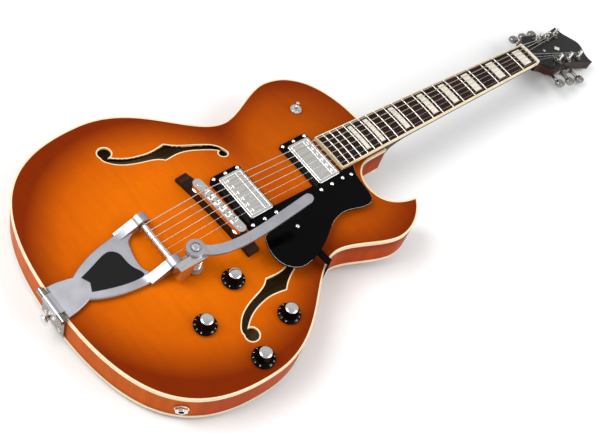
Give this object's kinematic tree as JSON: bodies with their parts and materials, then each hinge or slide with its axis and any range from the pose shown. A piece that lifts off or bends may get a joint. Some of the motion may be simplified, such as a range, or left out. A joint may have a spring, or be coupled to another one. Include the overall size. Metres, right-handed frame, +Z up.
{
  "type": "archtop electric guitar",
  "caption": "Hollow-body archtop electric guitar with a sharp cutaway, sound holes, pickups, floating bridge, rocking vibrato tailpiece and geared tuners, lying on its back.",
  "frame": {"origin": "middle of the underside of the bounding box, on the floor that the guitar lies on", "axes": "+X along the strings from tail to headstock, +Y to the bass side, +Z up out of the top"},
  "size_m": [1.0542, 0.411, 0.1251],
  "materials": {
    "amber_maple": "high gloss amber sunburst lacquer",
    "cherry_maple": "high gloss red-brown lacquer",
    "pale_wood": "bare wood",
    "cream_plastic": "polished",
    "dark_mahogany": "gloss dark brown lacquer",
    "rosewood": "oiled",
    "pearl": "pearl",
    "bone": "polished",
    "black_gloss": "polished",
    "black_matte": "matt",
    "black_paint": "satin",
    "nickel": "polished",
    "chrome": "polished",
    "steel": "bright",
    "cast_aluminium": "satin with polished edges",
    "bronze": "turned"
  },
  "bodies": {
    "guitar": {"top_plate": "amber_maple", "back_plate": "cherry_maple", "bass_rib": "cherry_maple", "treble_rib": "cherry_maple", "cutaway_rib": "cherry_maple", "linings": "pale_wood", "tone_bars": "pale_wood", "end_blocks": "pale_wood", "body_bindings": "cream_plastic", "neck": "dark_mahogany", "headstock_face": "black_gloss", "heel_cap": "black_gloss", "fretboard": "rosewood", "fretboard_binding": "cream_plastic", "frets": "nickel", "pearl_inlays": "pearl", "nut": "bone", "truss_rod": "steel", "truss_rod_cover": "black_gloss", "strings": "steel", "bridge_base": "rosewood", "bridge_posts": "nickel", "bridge_body": "nickel", "bridge_saddles": "nickel", "pickup_rings": "black_gloss", "pickup_covers": "chrome", "pickup_cores": "black_matte", "pickguard": "black_gloss", "pickguard_bracket": "chrome", "vibrato_frame": "cast_aluminium", "vibrato_panel": "black_paint", "vibrato_bearings": "bronze", "tail_hinge": "chrome", "strap_button": "chrome", "vibrato_spring": "steel", "inner_controls": "steel", "panel_nuts": "chrome", "output_jack": "chrome", "tuner_housings": "chrome", "small_screws": "nickel"},
    "rocker": {"vibrato_axle": "steel", "arm_bracket": "cast_aluminium"},
    "arm": {"vibrato_arm": "chrome"},
    "switch": {"switch_lever": "chrome"},
    "bridge_volume": {"bridge_volume_knob": "black_gloss"},
    "neck_volume": {"neck_volume_knob": "black_gloss"},
    "bridge_tone": {"bridge_tone_knob": "black_gloss"},
    "neck_tone": {"neck_tone_knob": "black_gloss"},
    "post_1": {"tuner_post_1": "chrome"},
    "knob_1": {"tuner_knob_1": "chrome"},
    "post_2": {"tuner_post_2": "chrome"},
    "knob_2": {"tuner_knob_2": "chrome"},
    "post_3": {"tuner_post_3": "chrome"},
    "knob_3": {"tuner_knob_3": "chrome"},
    "post_4": {"tuner_post_4": "chrome"},
    "knob_4": {"tuner_knob_4": "chrome"},
    "post_5": {"tuner_post_5": "chrome"},
    "knob_5": {"tuner_knob_5": "chrome"},
    "post_6": {"tuner_post_6": "chrome"},
    "knob_6": {"tuner_knob_6": "chrome"}
  },
  "joints": [
    {"name": "vibrato_rock", "type": "hinge", "parent": "guitar", "child": "rocker", "pos_m": [-0.3761, 0, 0.07945], "axis": [0, 1, 0], "range_deg": [-4, 4.5], "stiffness_Nm_per_rad": 20, "deforming": ["vibrato_spring"]},
    {"name": "arm_swing", "type": "hinge", "parent": "rocker", "child": "arm", "pos_m": [-0.3522, -0.0385, 0.09768], "axis": [-0.0341, 0, 0.9994], "range_deg": [-110, 15]},
    {"name": "switch_tip", "type": "hinge", "parent": "guitar", "child": "switch", "pos_m": [-0.07851, 0.086, 0.06733], "axis": [0, 1, 0], "range_deg": [-12, 12]},
    {"name": "bridge_volume_turn", "type": "hinge", "parent": "guitar", "child": "bridge_volume", "pos_m": [-0.32323, -0.08376, 0.06959], "axis": [-0.0341, 0, 0.9994], "range_deg": [-140, 140]},
    {"name": "neck_volume_turn", "type": "hinge", "parent": "guitar", "child": "neck_volume", "pos_m": [-0.38656, -0.11327, 0.06349], "axis": [-0.0341, 0, 0.9994], "range_deg": [-140, 140]},
    {"name": "bridge_tone_turn", "type": "hinge", "parent": "guitar", "child": "bridge_tone", "pos_m": [-0.29142, -0.15461, 0.06392], "axis": [-0.0341, 0, 0.9994], "range_deg": [-140, 140]},
    {"name": "neck_tone_turn", "type": "hinge", "parent": "guitar", "child": "neck_tone", "pos_m": [-0.35345, -0.18228, 0.0608], "axis": [-0.0341, 0, 0.9994], "range_deg": [-140, 140]},
    {"name": "knob_1_turn", "type": "hinge", "parent": "guitar", "child": "knob_1", "pos_m": [0.39789, 0.05, 0.02977], "axis": [0, 1, 0], "continuous": true},
    {"name": "post_1_turn", "type": "hinge", "parent": "guitar", "child": "post_1", "pos_m": [0.41129, 0.0245, 0.04643], "axis": [0.2747, 0, 0.9615], "continuous": true},
    {"name": "knob_2_turn", "type": "hinge", "parent": "guitar", "child": "knob_2", "pos_m": [0.43059, 0.0515, 0.02043], "axis": [0, 1, 0], "continuous": true},
    {"name": "post_2_turn", "type": "hinge", "parent": "guitar", "child": "post_2", "pos_m": [0.44398, 0.026, 0.03709], "axis": [0.2747, 0, 0.9615], "continuous": true},
    {"name": "knob_3_turn", "type": "hinge", "parent": "guitar", "child": "knob_3", "pos_m": [0.46328, 0.053, 0.01109], "axis": [0, 1, 0], "continuous": true},
    {"name": "post_3_turn", "type": "hinge", "parent": "guitar", "child": "post_3", "pos_m": [0.47667, 0.0275, 0.02775], "axis": [0.2747, 0, 0.9615], "continuous": true},
    {"name": "knob_4_turn", "type": "hinge", "parent": "guitar", "child": "knob_4", "pos_m": [0.39789, -0.05, 0.02977], "axis": [0, -1, 0], "continuous": true},
    {"name": "post_4_turn", "type": "hinge", "parent": "guitar", "child": "post_4", "pos_m": [0.41129, -0.0245, 0.04643], "axis": [0.2747, 0, 0.9615], "continuous": true},
    {"name": "knob_5_turn", "type": "hinge", "parent": "guitar", "child": "knob_5", "pos_m": [0.43059, -0.0515, 0.02043], "axis": [0, -1, 0], "continuous": true},
    {"name": "post_5_turn", "type": "hinge", "parent": "guitar", "child": "post_5", "pos_m": [0.44398, -0.026, 0.03709], "axis": [0.2747, 0, 0.9615], "continuous": true},
    {"name": "knob_6_turn", "type": "hinge", "parent": "guitar", "child": "knob_6", "pos_m": [0.46328, -0.053, 0.01109], "axis": [0, -1, 0], "continuous": true},
    {"name": "post_6_turn", "type": "hinge", "parent": "guitar", "child": "post_6", "pos_m": [0.47667, -0.0275, 0.02775], "axis": [0.2747, 0, 0.9615], "continuous": true}
  ],
  "couplings": [
    {"joint": "post_1_turn", "follows": "knob_1_turn", "ratio": 0.071429},
    {"joint": "post_2_turn", "follows": "knob_2_turn", "ratio": 0.071429},
    {"joint": "post_3_turn", "follows": "knob_3_turn", "ratio": 0.071429},
    {"joint": "post_4_turn", "follows": "knob_4_turn", "ratio": 0.071429},
    {"joint": "post_5_turn", "follows": "knob_5_turn", "ratio": 0.071429},
    {"joint": "post_6_turn", "follows": "knob_6_turn", "ratio": 0.071429}
  ]
}
